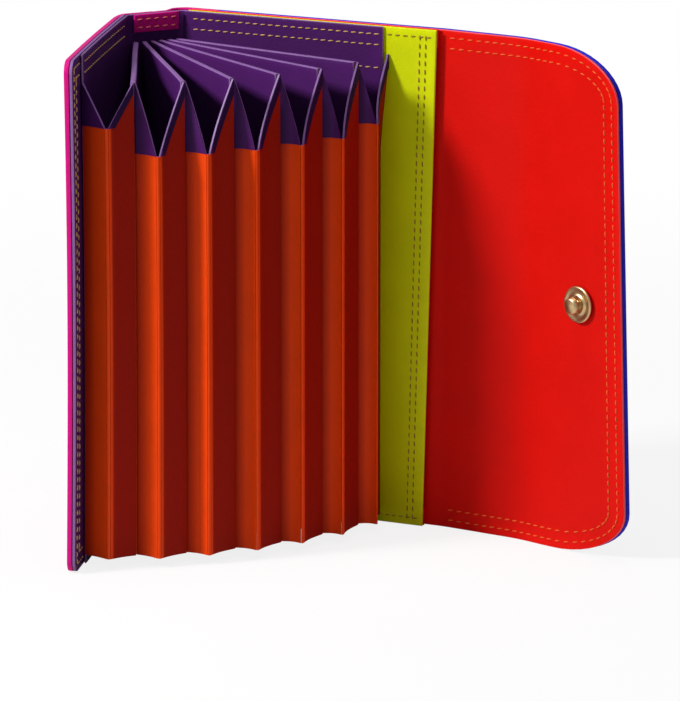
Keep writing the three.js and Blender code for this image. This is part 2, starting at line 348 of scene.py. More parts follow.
def leather(shader, shade):
    """Smooth dyed leather: pebble grain, faint creases, uneven dye, and polish where it is rubbed;
    on the gusset folds that lighter tone is partly a painted highlight.

    The attribute is 1 on rubbed edges; below 0 it is painted shade in the gusset grooves and on the
    gusset halves that face away from the light.
    """
    place = shader.place()
    cloud = shader.noise(place, 95.0, 4.0, Roughness=0.6)
    pebble = shader.node("ShaderNodeTexVoronoi", {"feature": "SMOOTH_F1"}, {
        "Vector": place, "Scale": 1500.0, "Smoothness": 0.6, "Randomness": 0.9})["Distance"]
    pores = shader.noise(place, 2600.0, 3.0, Roughness=0.7)
    crease = shader.noise(place, 260.0, 5.0, Roughness=0.65, Distortion=0.6)
    rub = shader.node("ShaderNodeAttribute", {"attribute_name": "rub"})["Fac"]
    dyed = shader.mix(cloud, tinted(shade, 0.86), tinted(shade, 1.1))
    dyed = shader.mix(pores * 0.22, dyed, tinted(shade, 0.62))
    # Lighter along rubbed edges: wear, and on the gusset folds partly a painted highlight.
    worn_and_painted_light = shader.mix(rub * crease * 0.55, dyed, tinted(shade, 1.45))
    # Painted shade where the attribute is below 0: in the gusset grooves and on the gusset halves
    # that face away from the light.
    worn_and_painted_light = shader.mix(rub * -0.9, worn_and_painted_light, painted_shade_tone(shade))
    roughness = 0.5 + (cloud - 0.5) * 0.16 - rub * 0.1 + (pores - 0.5) * 0.1
    relief = (0.24, 0.22 * MM, pebble * 0.5 + pores * 0.3 + crease * 0.8)
    return shader.coat(worn_and_painted_light, roughness, relief, **{"Specular IOR Level": 0.1})


def burnished(shader, shade):
    """Cut and polished leather edge: drawn fibres along the edge and small dark nicks."""
    place = shader.place()
    fibre = shader.noise(place, 900.0, 4.0, Roughness=0.7)
    nick = shader.noise(place, 180.0)
    tone = shader.mix(fibre, tinted(shade, 0.72), tinted(shade, 1.2))
    tone = shader.mix(nick ** 3 * 0.8, tone, tinted(shade, 0.55))
    return shader.coat(tone, 0.42 + fibre * 0.2, (0.3, 0.15 * MM, fibre + nick))


def thread(shader, shade):
    """Twisted sewing thread, waxed, with plies that show as fine slanting bands."""
    lay = shader.node("ShaderNodeUVMap", {"uv_map": "thread"})["UV"]
    ply = shader.node("ShaderNodeTexWave", {"bands_direction": "DIAGONAL"}, {
        "Vector": lay, "Scale": 3.0, "Distortion": 0.4})["Fac"]
    fuzz = shader.noise(shader.place(), 3000.0)
    tone = shader.mix(ply * 0.7 + fuzz * 0.3, tinted(shade, 0.68), tinted(shade, 1.08))
    return shader.coat(tone, 0.5 + fuzz * 0.2, (0.5, 0.1 * MM, ply))


def stud_metal(shader, shade):
    """Plated stud metal: fine scratches, rubbed plating and cloudy tarnish."""
    place = shader.place()
    tarnish = shader.noise(place, 700.0, 4.0)
    scratch = shader.noise(place, 4000.0)
    tone = shader.mix(tarnish ** 2, shade, tinted(shade, 0.55))
    return shader.coat(tone, 0.2 + tarnish * 0.2 + scratch * 0.06, (0.12, 0.1 * MM, scratch),
                       Metallic=1.0)


def backdrop(shader, shade):
    """Pale floor that the camera sees fade to white, with the shadow kept close to the holder."""
    place = shader.place()
    tone = shader.mix(shader.noise(place, 60.0) * 0.2, shade, tinted(shade, 0.98))
    matt = shader.node("ShaderNodeBsdfDiffuse", {}, {"Color": tone})["BSDF"]
    glow = shader.node("ShaderNodeEmission", {}, {
        "Color": (1, 1, 1, 1), "Strength": 1.0})["Emission"]
    away = shader.node("ShaderNodeVectorMath", {"operation": "LENGTH"}, {0: place})["Value"]
    share = shader.node("ShaderNodeMapRange", {"interpolation_type": "SMOOTHSTEP"}, {
        "Value": away, "From Min": 0.12, "From Max": 0.45, "To Min": 0.84, "To Max": 1.0})["Result"]
    seen = shader.node("ShaderNodeLightPath")["Is Camera Ray"]
    return shader.node("ShaderNodeMixShader", {}, {0: seen * share, 1: matt, 2: glow})["Shader"]


def finish_of(key, kind=leather):
    """The material of one leather, edge, thread or metal in its colour from the panel."""
    material = bpy.data.materials.get(key)
    if material is None:
        material = bpy.data.materials.new(key)
        shader = Shader(material)
        surface = kind(shader, tuple(getattr(bpy.context.scene.holder_colours, key)))
        shader.node("ShaderNodeOutputMaterial", {}, {"Surface": surface})
    return material


def looks(key, edge=None):
    """The finishes of a piece's skins and of its cut edges."""
    return [finish_of(key), finish_of(edge, burnished) if edge else finish_of(key)]


# Plan paths: leather is cut flat, then laid along a line in plan

class PlanPath:
    """A line in plan made of straight and round runs; each run is (length, turn)."""

    def __init__(self, start, angle, runs):
        self.runs = []
        at = 0.0
        point = start.copy()
        for run, turn in runs:
            self.runs.append((at, run, point.copy(), angle, turn / run if turn else 0.0))
            point, angle = self.walk(self.runs[-1], at + run)
            at += run
        self.length = at

    @staticmethod
    def walk(run, at):
        begin, _, point, angle, curve = run
        gone = at - begin
        if curve == 0:
            return point + along(angle) * gone, angle
        centre = point + left_of(angle) / curve
        turned = angle + curve * gone
        return centre - left_of(turned) / curve, turned

    def at(self, distance):
        chosen = self.runs[0]
        for run in self.runs:
            if distance >= run[0]:
                chosen = run
        return self.walk(chosen, distance)


def bent_path(first, corner, angle_out, reach, radius):
    """From first to corner, round the bend, then reach further on at angle_out."""
    angle_in = heading(corner - first)
    turn = (angle_out - angle_in + math.pi) % (2 * math.pi) - math.pi
    trim = radius * math.tan(abs(turn) / 2)
    return PlanPath(first, angle_in, [
        ((corner - first).length - trim, 0.0),
        (radius * abs(turn), turn),
        (reach - trim, 0.0)])


def straight_path(first, angle, reach):
    return PlanPath(first, angle, [(reach, 0.0)])


COVER_PATH = bent_path(SPINE_MIDDLE, COVER_CORNER, COVER_HEADING, COVER_WIDTH, SPINE_RADIUS)
SPINE_PATH = bent_path(SPINE_MIDDLE, BACK_CORNER, 0.0, BACK_WIDTH, SPINE_RADIUS)
BACK_PATH = bent_path(Vector((BACK_CORNER.x, FLAP_CORNER.y)), FLAP_CORNER, SIDE_HEADING,
                      SIDE_RUN, SIDE_RADIUS)
FLAP_PATH = bent_path(SIDE_MIDDLE, FLAP_BEND, FRONT_HEADING, FRONT_LENGTH, FRONT_RADIUS)
HEM_PATH = straight_path(COVER_CORNER, SPINE_HEADING, SPINE_WIDTH)
FLAT_BACK_PATH = straight_path(BACK_CORNER, 0.0, BACK_WIDTH)


class Laying:
    """Where a flat cut goes: its path, how deep it lies there, how it bows and how it slides."""

    def __init__(self, path, depth=lambda u: 0.0, bow=lambda u, z: 0.0, slide=lambda u, z: 0.0):
        self.path = path
        self.depth = depth
        self.bow = bow
        self.slide = slide

    def lay(self, bm):
        for vert in bm.verts:
            u, y, z = vert.co
            point, angle = self.path.at(u + self.slide(u, z))
            point = point + left_of(angle) * (y + self.depth(u) + self.bow(u, z))
            vert.co = (point.x, point.y, z)


def smooth(value):
    value = min(1.0, max(0.0, value))
    return value * value * (3 - 2 * value)


def between(low, high, start, end):
    """A depth that changes from low to high along the path between start and end."""
    return lambda u: low + (high - low) * smooth((u - start) / (end - start))


def belly(z):
    """How far up the holder a panel bows: none at the ends, most below the middle."""
    share = min(1.0, max(0.0, z / HEIGHT))
    return math.sin(math.pi * share ** 0.9)


def cover_bow(u, z):
    """The free edge of the cover curls inwards, most towards the top, and bows in the middle."""
    reach = max(0.0, u - COVER_RUN) / COVER_WIDTH
    curl = sizes().cover_curl * (1 + smooth(z / HEIGHT))
    return reach ** 2 * (curl + sizes().cover_bow * belly(z))


def flap_lean(u, z):
    """The flap leans from its foot to its top, and more towards its free edge."""
    reach = max(0.0, u - SIDE_RUN) / FRONT_LENGTH
    return sizes().flap_lean * reach ** 1.5 * (0.78 - z / HEIGHT)


def seam_run(z):
    """How far the sewn edge of the last pocket lies further in, below the mouth."""
    return sizes().seam_run * smooth((HEIGHT - 7 * MM - z) / (20 * MM))


def wall_slide(u, z):
    """The wall of the last pocket draws in with its sewn edge, beyond a still part at the spine."""
    still = 25 * MM
    return -seam_run(z) * smooth((u - COVER_RUN - still) / (WALL_REACH - still))


def slip_slide(u, z):
    """The free edge of the slip pocket slants in towards the foot."""
    still = 30 * MM
    return -sizes().slip_slant * (1 - z / HEIGHT) * smooth((u - still) / (BACK_WIDTH - still))


COVER_OUTSIDE = Laying(
    COVER_PATH, between(-0.8 * MM, -1.5 * MM, COVER_RUN - 2 * MM, COVER_RUN + 3 * MM), cover_bow)
COVER_INSIDE = Laying(COVER_PATH, bow=cover_bow)
SPINE_OUTSIDE = Laying(
    SPINE_PATH, between(0.8 * MM, 3.3 * MM, COVER_RUN - 3.5 * MM, COVER_RUN + 0.6 * MM))
SPINE_INSIDE = Laying(SPINE_PATH, slide=wall_slide)
HEM_LAYING = Laying(HEM_PATH)
WALL_LAYING = Laying(FLAT_BACK_PATH)
SLIP_LAYING = Laying(FLAT_BACK_PATH, slide=slip_slide)
BACK_LAYING = Laying(BACK_PATH)
FLAP_LAYING = Laying(FLAP_PATH, bow=flap_lean)


# Leather pieces

def cut_blank(u0, u1, z0, z1, radius=(0.0, 0.0)):
    """One flat face from u0 to u1 and z0 to z1, its corners at u1 rounded; radius along and up."""
    bm = bmesh.new()
    bmesh.ops.create_grid(bm, x_segments=1, y_segments=1, size=0.5)
    bmesh.ops.scale(bm, vec=(u1 - u0, z1 - z0, 1), verts=bm.verts)
    bmesh.ops.translate(bm, vec=((u0 + u1) / 2, (z0 + z1) / 2, 0), verts=bm.verts)
    if radius[1]:
        squeeze = radius[1] / radius[0]
        corners = [v for v in bm.verts if v.co.x > (u0 + u1) / 2]
        bmesh.ops.scale(bm, vec=(squeeze, 1, 1), verts=bm.verts)
        bmesh.ops.bevel(bm, geom=corners, offset=radius[1], affect="VERTICES",
                        segments=CORNER_SEGMENTS, profile=0.5, material=-1)
        bmesh.ops.scale(bm, vec=(1 / squeeze, 1, 1), verts=bm.verts)
    upright = Matrix.Rotation(math.pi / 2, 3, "X")
    bmesh.ops.rotate(bm, cent=(0, 0, 0), matrix=upright, verts=bm.verts)
    return bm


def strip(bm, low=-math.inf, high=math.inf):
    """The faces whose middle lies between two upright lines, with their edges and corners."""
    faces = [f for f in bm.faces if low < f.calc_center_median().x < high]
    verts = dict.fromkeys(v for f in faces for v in f.verts)
    edges = dict.fromkeys(e for f in faces for e in f.edges)
    return [*verts, *edges, *faces]


def score(bm, geom, at, normal, trim=False):
    """Cut a line into some of the flat faces, or trim off what lies beyond it."""
    bmesh.ops.bisect_plane(bm, geom=geom, dist=CUT_DISTANCE, plane_co=at, plane_no=normal,
                           clear_outer=trim)


def slice_blank(bm, across=(), up=()):
    """Score the flat face along upright lines at across and level lines at up."""
    for u in across:
        score(bm, strip(bm), (u, 0, 0), (1, 0, 0))
    for z in up:
        score(bm, strip(bm), (0, 0, z), UPRIGHT)


def steps(start, end, size):
    count = max(1, round((end - start) / size))
    return [start + (end - start) * i / count for i in range(1, count)]


def mark_wear_and_painted_light(bm, u_free, z_low, z_high):
    """How rubbed each point is: 1 along the free edges, fading inwards."""
    rub = bm.verts.layers.float.new("rub")
    for vert in bm.verts:
        gap = min(u_free - vert.co.x, vert.co.z - z_low, z_high - vert.co.z)
        vert[rub] = 1 - smooth(gap / WEAR_WIDTH)


def thicken(bm, y0, y1):
    """Push the flat face through from y0 to y1."""
    bmesh.ops.translate(bm, vec=(0, y0, 0), verts=bm.verts)
    pushed = bmesh.ops.extrude_face_region(bm, geom=bm.faces[:], use_keep_orig=True)
    lifted = [item for item in pushed["geom"] if isinstance(item, bmesh.types.BMVert)]
    bmesh.ops.translate(bm, vec=(0, y1 - y0, 0), verts=lifted)
    bmesh.ops.recalc_face_normals(bm, faces=bm.faces)


def round_edges(bm, radius, joins):
    """Round the edges between the two skins and the cut edge, but not where the leather runs on."""
    sharp = [e for e in bm.edges if len(e.link_faces) == 2
             and e.link_faces[0].normal.angle(e.link_faces[1].normal, 0) > 1.2
             and max(abs(f.normal.y) for f in e.link_faces) > 0.9
             and not any(max(abs(v.co.x - u) for v in e.verts) < 1e-6 for u in joins)]
    bmesh.ops.bevel(bm, geom=sharp, offset=radius, affect="EDGES", segments=EDGE_SEGMENTS,
                    profile=0.5, material=-1, clamp_overlap=True)


def into_object(name, bm, materials):
    mesh = bpy.data.meshes.new(name)
    bm.to_mesh(mesh)
    bm.free()
    for material in materials:
        mesh.materials.append(material)
    for polygon in mesh.polygons:
        polygon.use_smooth = True
    piece = bpy.data.objects.new(name, mesh)
    bpy.context.scene.collection.objects.link(piece)
    return piece


def sharpen(piece, angle):
    """Keep the shading crisp at edges that turn by more than angle."""
    bm = bmesh.new()
    bm.from_mesh(piece.data)
    for edge in bm.edges:
        if len(edge.link_faces) == 2 and edge.calc_face_angle(0) > angle:
            edge.smooth = False
    bm.to_mesh(piece.data)
    bm.free()


def flat_area(bm):
    return sum(face.calc_area() for face in bm.faces)


def leather_piece(name, laying, outline, skin, finishes,
                  radius=(0.0, 0.0), rub=True, cell=CELL, joins=()):
    """Cut, thicken, round and lay one leather piece. outline is (u0, u1, z0, z1), skin (y0, y1).

    finishes are those of the skins, of the cut edges and, if given, of the lower front edge.
    """
    u0, u1, z0, z1 = outline
    bm = cut_blank(u0, u1, z0, z1, radius)
    across = steps(u0, u1, cell)
    for begin, run, _, _, curve in laying.path.runs:
        if curve:
            across += [begin + run * i / BEND_STEPS for i in range(BEND_STEPS + 1)]
    if rub:
        across += [u1 - gap for gap in WEAR_LINES]
    across = [u for u in sorted(set(across)) if u0 + 0.1 * MM < u < u1 - 0.1 * MM]
    up = steps(z0, z1, cell * 1.4)
    if z1 - z0 > TALL_PIECE:
        up += [z for gap in WEAR_LINES for z in (z0 + gap, z1 - gap)]
    slice_blank(bm, across, sorted(up))
    mark_wear_and_painted_light(bm, u1 if rub else 1.0, z0, z1)
    area = flat_area(bm)
    thicken(bm, *skin)
    round_edges(bm, min(sizes().edge_round, EDGE_SHARE * (skin[1] - skin[0])), joins)
    front_top = z1 - EDGE_FRONT_DROP
    for face in bm.faces:
        face.material_index = 0 if abs(face.normal.y) > 0.75 else 1
        if len(finishes) == 3 and face.normal.x > 0.5 and face.calc_center_median().z < front_top:
            face.material_index = 2
    laying.lay(bm)
    piece = into_object(name, bm, finishes)
    sharpen(piece, 1.0)
    return piece


def on_plan(point):
    return (point.x, point.y, HEIGHT / 2)


def fit(piece, slot, tie, *nodes):
    """Hang a piece on the body it rides on and hide the nodes it stands for; slot is not used. tie
    is the body, or a bend, in which case the piece stays fixed where it was laid.
    """
    if isinstance(tie, str):
        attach(piece, tie)
    else:
        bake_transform(piece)
    if nodes:
        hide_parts(*nodes)


# Cover and spine

class CARDHOLDER_OT_cover(bpy.types.Operator):
    """Magenta cover and spine skins, purple cover lining and the wall of the first pocket"""
    bl_idname = "card_holder.cover"
    bl_label = "Cover and spine"

    def execute(self, context):
        magenta = looks("magenta")
        purple = looks("purple", "lilac")

        skin = leather_piece("cover_skin", COVER_OUTSIDE, (0, COVER_END, 0, HEIGHT), COVER_SKIN,
                             magenta,
                             radius=COVER_CORNER_RADIUS, joins=[0.0])
        fit(skin, "magenta_leather", COVER_BEND, "cover_outer")

        lining = leather_piece("cover_lining_leather", COVER_INSIDE,
                               (COVER_RUN + 0.3 * MM, COVER_END, 0, HEIGHT), COVER_LINING,
                               purple, radius=COVER_CORNER_RADIUS)
        fit(lining, "purple_leather", "cover", "cover_lining")

        wall = leather_piece("first_pocket_wall", COVER_INSIDE, (0, WALL_END, 0, HEIGHT),
                             FIRST_WALL, purple, joins=[0.0])
        fit(wall, "purple_leather", COVER_BEND, "accordion_front_wall")

        spine = leather_piece("spine_skin", SPINE_OUTSIDE, (0, COVER_RUN + SPINE_LAP, 0, HEIGHT),
                              SPINE_SKIN, magenta, joins=[0.0])
        fit(spine, "magenta_leather", SPINE_BEND, "spine_outer")

        hem = leather_piece("spine_hem", HEM_LAYING,
                            (HEM_INSET, SPINE_WIDTH - HEM_INSET, HEIGHT - HEM_HEIGHT, HEIGHT),
                            SPINE_HEM, magenta, cell=FINE_CELL)
        fit(hem, "magenta_leather", "spine", "spine_top_hem")
        return {"FINISHED"}


# Back

class CARDHOLDER_OT_back(bpy.types.Operator):
    """Purple wall of the last pocket, lime slip pocket, red lining and blue skin of the back"""
    bl_idname = "card_holder.back"
    bl_label = "Back and slip pocket"

    def execute(self, context):
        wall = leather_piece("last_pocket_wall", SPINE_INSIDE, (0, WALL_END, 0, HEIGHT), LAST_WALL,
                             looks("purple", "lilac"), joins=[0.0])
        fit(wall, "purple_leather", SPINE_BEND, "accordion_back_wall", "spine_lining")

        slip = leather_piece("slip_pocket_panel", SLIP_LAYING, (LAYER_START, SLIP_END, 0, HEIGHT),
                             SLIP_PANEL, looks("lime"))
        fit(slip, "lime_leather", "back", "slip_panel")

        for name, node_name, low in (("slip_welt_low", "slip_welt_bottom", 0.0),
                                     ("slip_welt_high", "slip_welt_top", HEIGHT - WELT_WIDTH)):
            welt = leather_piece(name, SLIP_LAYING, (LAYER_START, SLIP_END, low, low + WELT_WIDTH),
                                 SLIP_WELT, looks("red"), cell=COARSE_CELL)
            fit(welt, "red_leather", "back", node_name)

        for name, nodes, start, skin, finishes, slot in (
                ("back_lining_leather", ("back_lining", "flap_side_lining"), LAYER_START,
                 RED_LINING, looks("red", "rose"), "red_leather"),
                ("back_skin", ("back_outer", "flap_side_outer"), BACK_SKIN_START,
                 BLUE_SKIN, looks("blue"), "blue_leather")):
            piece = leather_piece(name, BACK_LAYING, (start, BACK_END, 0, HEIGHT), skin, finishes,
                                  rub=False, joins=[BACK_END])
            fit(piece, slot, SIDE_BEND, *nodes)
        return {"FINISHED"}


# Flap

class CARDHOLDER_OT_flap(bpy.types.Operator):
    """Red lining and blue skin of the flap, with rounded free corners"""
    bl_idname = "card_holder.flap"
    bl_label = "Flap"

    def execute(self, context):
        for name, node_name, skin, finishes, slot, other in (
                ("flap_lining_leather", "flap_front_lining", RED_LINING, looks("red", "rose"),
                 "red_leather", "flap_skin"),
                ("flap_skin", "flap_front_outer", BLUE_SKIN, looks("blue"),
                 "blue_leather", "flap_lining_leather")):
            piece = leather_piece(name, FLAP_LAYING, (0, FLAP_END, 0, HEIGHT), skin, finishes,
                                  radius=FLAP_CORNER_RADIUS, joins=[0.0])
            fit(piece, slot, FRONT_BEND, node_name)
        return {"FINISHED"}


# Accordion

def fan_bow(k, z):
    """Sideways bow of divider k at its sewn edge: with the cover at first, none at the back."""
    return cover_bow(COVER_RUN + POCKET_REACH * MM, z) * (1 - k / POCKETS) ** FAN_FADE


def fan_push(k, z):
    """The same bow as a shift in plan."""
    return left_of(divider_heading(k)) * fan_bow(k, z)


def fold_push(k, z):
    """Shift of the outward fold of pocket k, between its two neighbours."""
    return (fan_push(k - 1, z) + fan_push(k, z)) / 2


class CARDHOLDER_OT_dividers(bpy.types.Operator):
    """Six purple dividers with pale burnished top edges"""
    bl_idname = "card_holder.dividers"
    bl_label = "Dividers"

    def execute(self, context):
        finishes = [*looks("purple", "lilac"), finish_of("orange")]
        for k in range(1, POCKETS):
            body = f"divider_{k}"
            path = straight_path(HINGE[f"{body}_turn"], divider_heading(k), DIVIDER_REACH)
            bow = (lambda u, z, k=k: fan_bow(k, z) * smooth(max(0.0, u) / DIVIDER_REACH))
            outline = (-DIVIDER_TAIL, DIVIDER_REACH + DIVIDER_LAP, ACCORDION_FOOT, DIVIDER_TOP)
            piece = leather_piece(f"divider_leather_{k}", Laying(path, bow=bow), outline,
                                  (-DIVIDER_SKIN / 2, DIVIDER_SKIN / 2), finishes,
                                  cell=COARSE_CELL)
            fit(piece, "purple_leather", body, body)
        return {"FINISHED"}


class Gusset:
    """One gusset: its plan, its flat cut and where the points of the cut go."""

    def __init__(self, k):
        self.k = k
        self.fold = HINGE[f"gusset_{k}_outer_fold"]
        self.first = sewn_edge(k - 1, 1)
        self.last = sewn_edge(k, -1)
        skew = math.atan2(FOLD_RADIUS, GUSSET)
        angle_in = heading(self.fold - self.first) - skew
        angle_out = heading(self.last - self.fold) - skew
        turn = (angle_out - angle_in) % (2 * math.pi)
        self.bend = FOLD_RADIUS * turn
        half = (GUSSET, 0.0)
        self.path = PlanPath(self.first, angle_in, [half, (self.bend, turn), half])
        self.bend_end = GUSSET + self.bend
        self.middle = GUSSET + self.bend / 2
        self.total = self.path.length
        drop = FOLD_DROP[k - 1] * MM
        self.fold_top = DIVIDER_TOP - drop
        self.left_slope = Vector((drop, 0, GUSSET)).normalized()
        self.right_slope = Vector((-self.left_slope.x, 0, self.left_slope.z))
        sideways = (self.last - self.first).normalized()
        self.lean = sideways * FOLD_LEAN[k - 1] * MM
        self.outwards = (self.fold - (self.first + self.last) / 2).normalized()

    def cut(self):
        """The flat cut, sloping down to the fold on both sides and scored along its hems."""
        bm = cut_blank(-GUSSET_LAP, self.total + GUSSET_LAP, ACCORDION_FOOT, DIVIDER_TOP)
        across = steps(0, GUSSET, GUSSET_STEP)
        across += [GUSSET + self.bend * i / BEND_STEPS for i in range(BEND_STEPS + 1)]
        across += steps(self.bend_end, self.total, GUSSET_STEP)
        slice_blank(bm, across)
        corner = Vector((self.bend_end, 0, self.fold_top))
        level = (0, 0, self.fold_top)
        score(bm, strip(bm, high=GUSSET), (GUSSET, 0, self.fold_top), self.left_slope, trim=True)
        score(bm, strip(bm, low=self.bend_end), corner, self.right_slope, trim=True)
        score(bm, strip(bm, GUSSET, self.bend_end), level, UPRIGHT, trim=True)
        score(bm, strip(bm), level, UPRIGHT)
        score(bm, strip(bm, low=self.bend_end), corner - self.right_slope * GUSSET_HEM,
              self.right_slope)
        slice_blank(bm, up=steps(ACCORDION_FOOT, self.fold_top - 2 * MM, GUSSET_RISE))
        return bm

    def mark_wear_and_painted_light(self, bm):
        """Lighter along the fold, partly wear and partly painted highlight; painted shade towards
        the left seam and all over the right half.
        """
        rub = bm.verts.layers.float.new("rub")
        ridge = 0.2 * MM
        for vert in bm.verts:
            gap = vert.co.x - self.middle
            # Left half: lighter at the fold (wear and painted highlight), turning to painted shade
            # towards the seam.
            if gap < ridge:
                vert[rub] = 1 - 1.8 * smooth(-gap / (6.5 * MM))
            else:
                # Right half: a thin lighter rim at the fold, then painted shade all over.
                vert[rub] = 0.9 - 1.9 * smooth((gap - ridge) / (0.9 * MM))

    def in_hem(self, face):
        spot = face.calc_center_median()
        corner = Vector((self.bend_end, spot.y, self.fold_top))
        beside = (spot - corner).dot(self.right_slope) > -GUSSET_HEM
        return spot.z > self.fold_top and (spot.x < self.middle or beside)

    def turn_hems(self, bm):
        """Orange outside, purple inside and on the raised hems, pale along the top edge."""
        orange, purple, pale = range(3)
        hems = []
        for face in bm.faces:
            if face.normal.y > 0.9:
                face.material_index = purple
            elif face.normal.y < -0.9:
                face.material_index = orange
                if self.in_hem(face):
                    face.material_index = purple
                    hems.append(face)
            else:
                face.material_index = pale if face.normal.z > 0.1 else orange
        raised = bmesh.ops.inset_region(bm, faces=hems, thickness=HEM_SLOPE,
                                        depth=sizes().hem_rise, use_even_offset=True)
        for face in raised["faces"]:
            face.material_index = purple

    def push(self, u, z):
        """Shift in plan: with the fan at the seams, leaning at the fold and hollow between."""
        at_fold = fold_push(self.k, z)
        if u < self.middle:
            share = max(0.0, u) / self.middle
            push = fan_push(self.k - 1, z).lerp(at_fold, share) - self.lean * share ** 2
        else:
            share = max(0.0, self.total - u) / (self.total - self.middle)
            lean = self.lean * math.sin(math.pi / 2 * share)
            push = fan_push(self.k, z).lerp(at_fold, share) - lean
            if self.k == POCKETS:
                push.x -= seam_run(z) * (1 - share)
        return push - self.outwards * sizes().hollow * math.sin(math.pi * share)

    def lay(self, bm):
        for vert in bm.verts:
            u, y, z = vert.co
            point, angle = self.path.at(u)
            point = point + left_of(angle) * y + self.push(u, z)
            vert.co = (point.x, point.y, z)

    def make(self, finishes):
        bm = self.cut()
        self.mark_wear_and_painted_light(bm)
        area = flat_area(bm)
        thicken(bm, 0, -GUSSET_SKIN)
        self.turn_hems(bm)
        self.lay(bm)
        piece = into_object(f"gusset_leather_{self.k}", bm, finishes)
        sharpen(piece, 0.7)
        return piece

    def bends(self):
        """The bend at the fold, where the lean and the bow have taken it."""
        tip = self.fold - self.lean + fold_push(self.k, HEIGHT / 2)
        to_first = (self.first + fan_push(self.k - 1, HEIGHT / 2) - tip).normalized()
        to_last = (self.last + fan_push(self.k, HEIGHT / 2) - tip).normalized()
        return tip, to_first, to_last, FOLD_BLEND


class CARDHOLDER_OT_gussets(bpy.types.Operator):
    """Seven gussets, orange outside and purple inside, with turned-over hems at the top"""
    bl_idname = "card_holder.gussets"
    bl_label = "Gussets"

    def execute(self, context):
        finishes = [finish_of("orange"), *looks("purple", "lilac")]
        for k in range(1, POCKETS + 1):
            gusset = Gusset(k)
            halves = (f"gusset_left_{k}", f"gusset_right_{k}")
            fit(gusset.make(finishes), "orange_leather", (*halves, *gusset.bends()), *halves)
        return {"FINISHED"}


# Stitching

STITCH_SLANT = 0.09
THREAD_LAY = 2500
HEM_ROWS = (1.1 * MM, 2.9 * MM)
HEM_ROW_MARGIN = 1.4 * MM
WALL_ROW_START = 2.5 * MM
WALL_ROW_END = 47.6 * MM
WALL_FOOT_ROW_END = 44 * MM
SHORT_ROW_START = 36 * MM
SHORT_ROW_DROP = 9 * MM
SLIP_ROWS = (2.4 * MM, 3.8 * MM)
SLIP_ROW_MARGIN = 1 * MM
SLIP_LEVEL_START = 48.6 * MM
SLIP_LEVEL_MARGIN = 0.8 * MM
COVER_ROW_START = COVER_RUN + 4 * MM
SIDE_ROW_START = BACK_WIDTH + 1 * MM
BACK_ROW_START = 8.4 * MM
BACK_ROW_MARGIN = 5 * MM


def straight_row(begin, end):
    """Points and directions of the stitches between two points of a flat cut."""
    begin = Vector(begin)
    end = Vector(end)
    run = (end - begin).length
    count = max(1, int(run / sizes().stitch_pitch))
    direction = (end - begin).normalized()
    return [(begin + direction * run * (i + 0.5) / count, direction) for i in range(count)]


def edge_row(start, end, inset, radius):
    """A row along the free outline at an inset: the top, both corners and back along the foot."""
    wide, tall = (max(r - inset, 0.4 * MM) for r in radius)
    end -= inset
    low = inset
    high = HEIGHT - inset
    count = max(2, int((wide + tall) * math.pi / 4 / sizes().stitch_pitch + 0.5))

    def corner(z, begin):
        for i in range(count):
            angle = begin - math.pi / 2 * (i + 0.5) / count
            spot = Vector((end - wide + wide * math.cos(angle), z + tall * math.sin(angle)))
            yield spot, Vector((wide * math.sin(angle), -tall * math.cos(angle))).normalized()

    return [*straight_row((start, high), (end - wide, high)),
            *corner(high - tall, math.pi / 2),
            *straight_row((end, high - tall), (end, low + tall)),
            *corner(low + tall, 0.0),
            *straight_row((end - wide, low), (start, low))]


def sew(name, laying, stitches, layer, side, material):
    """Lay stitches on one face of a layer; each is a short thread that dips in at both ends."""
    bm = bmesh.new()
    twist = bm.loops.layers.uv.new("thread")
    half = sizes().stitch_length / 2
    radius = sizes().thread_radius
    outward = 1 if side == FAR else -1
    for spot, direction in stitches:
        slant = math.atan2(direction.y, direction.x) + STITCH_SLANT
        made = bmesh.ops.create_uvsphere(bm, u_segments=6, v_segments=7, radius=1.0)["verts"]
        for vert in made:
            share = vert.co.z
            girth = radius * (1.0 if abs(share) < 0.75 else 1.15)
            rise = (0.35 - 0.9 * share ** 4) * radius
            vert.co = (half * share, (vert.co.y * girth + rise) * outward, vert.co.x * girth)
        bmesh.ops.rotate(bm, cent=(0, 0, 0), matrix=Matrix.Rotation(-slant, 3, "Y"), verts=made)
        bmesh.ops.translate(bm, vec=(spot.x, layer[side], spot.y), verts=made)
    for face in bm.faces:
        for loop in face.loops:
            loop[twist].uv = (loop.vert.co.x * THREAD_LAY, loop.vert.co.z * THREAD_LAY)
    bmesh.ops.recalc_face_normals(bm, faces=bm.faces)
    laying.lay(bm)
    return into_object(name, bm, [material])


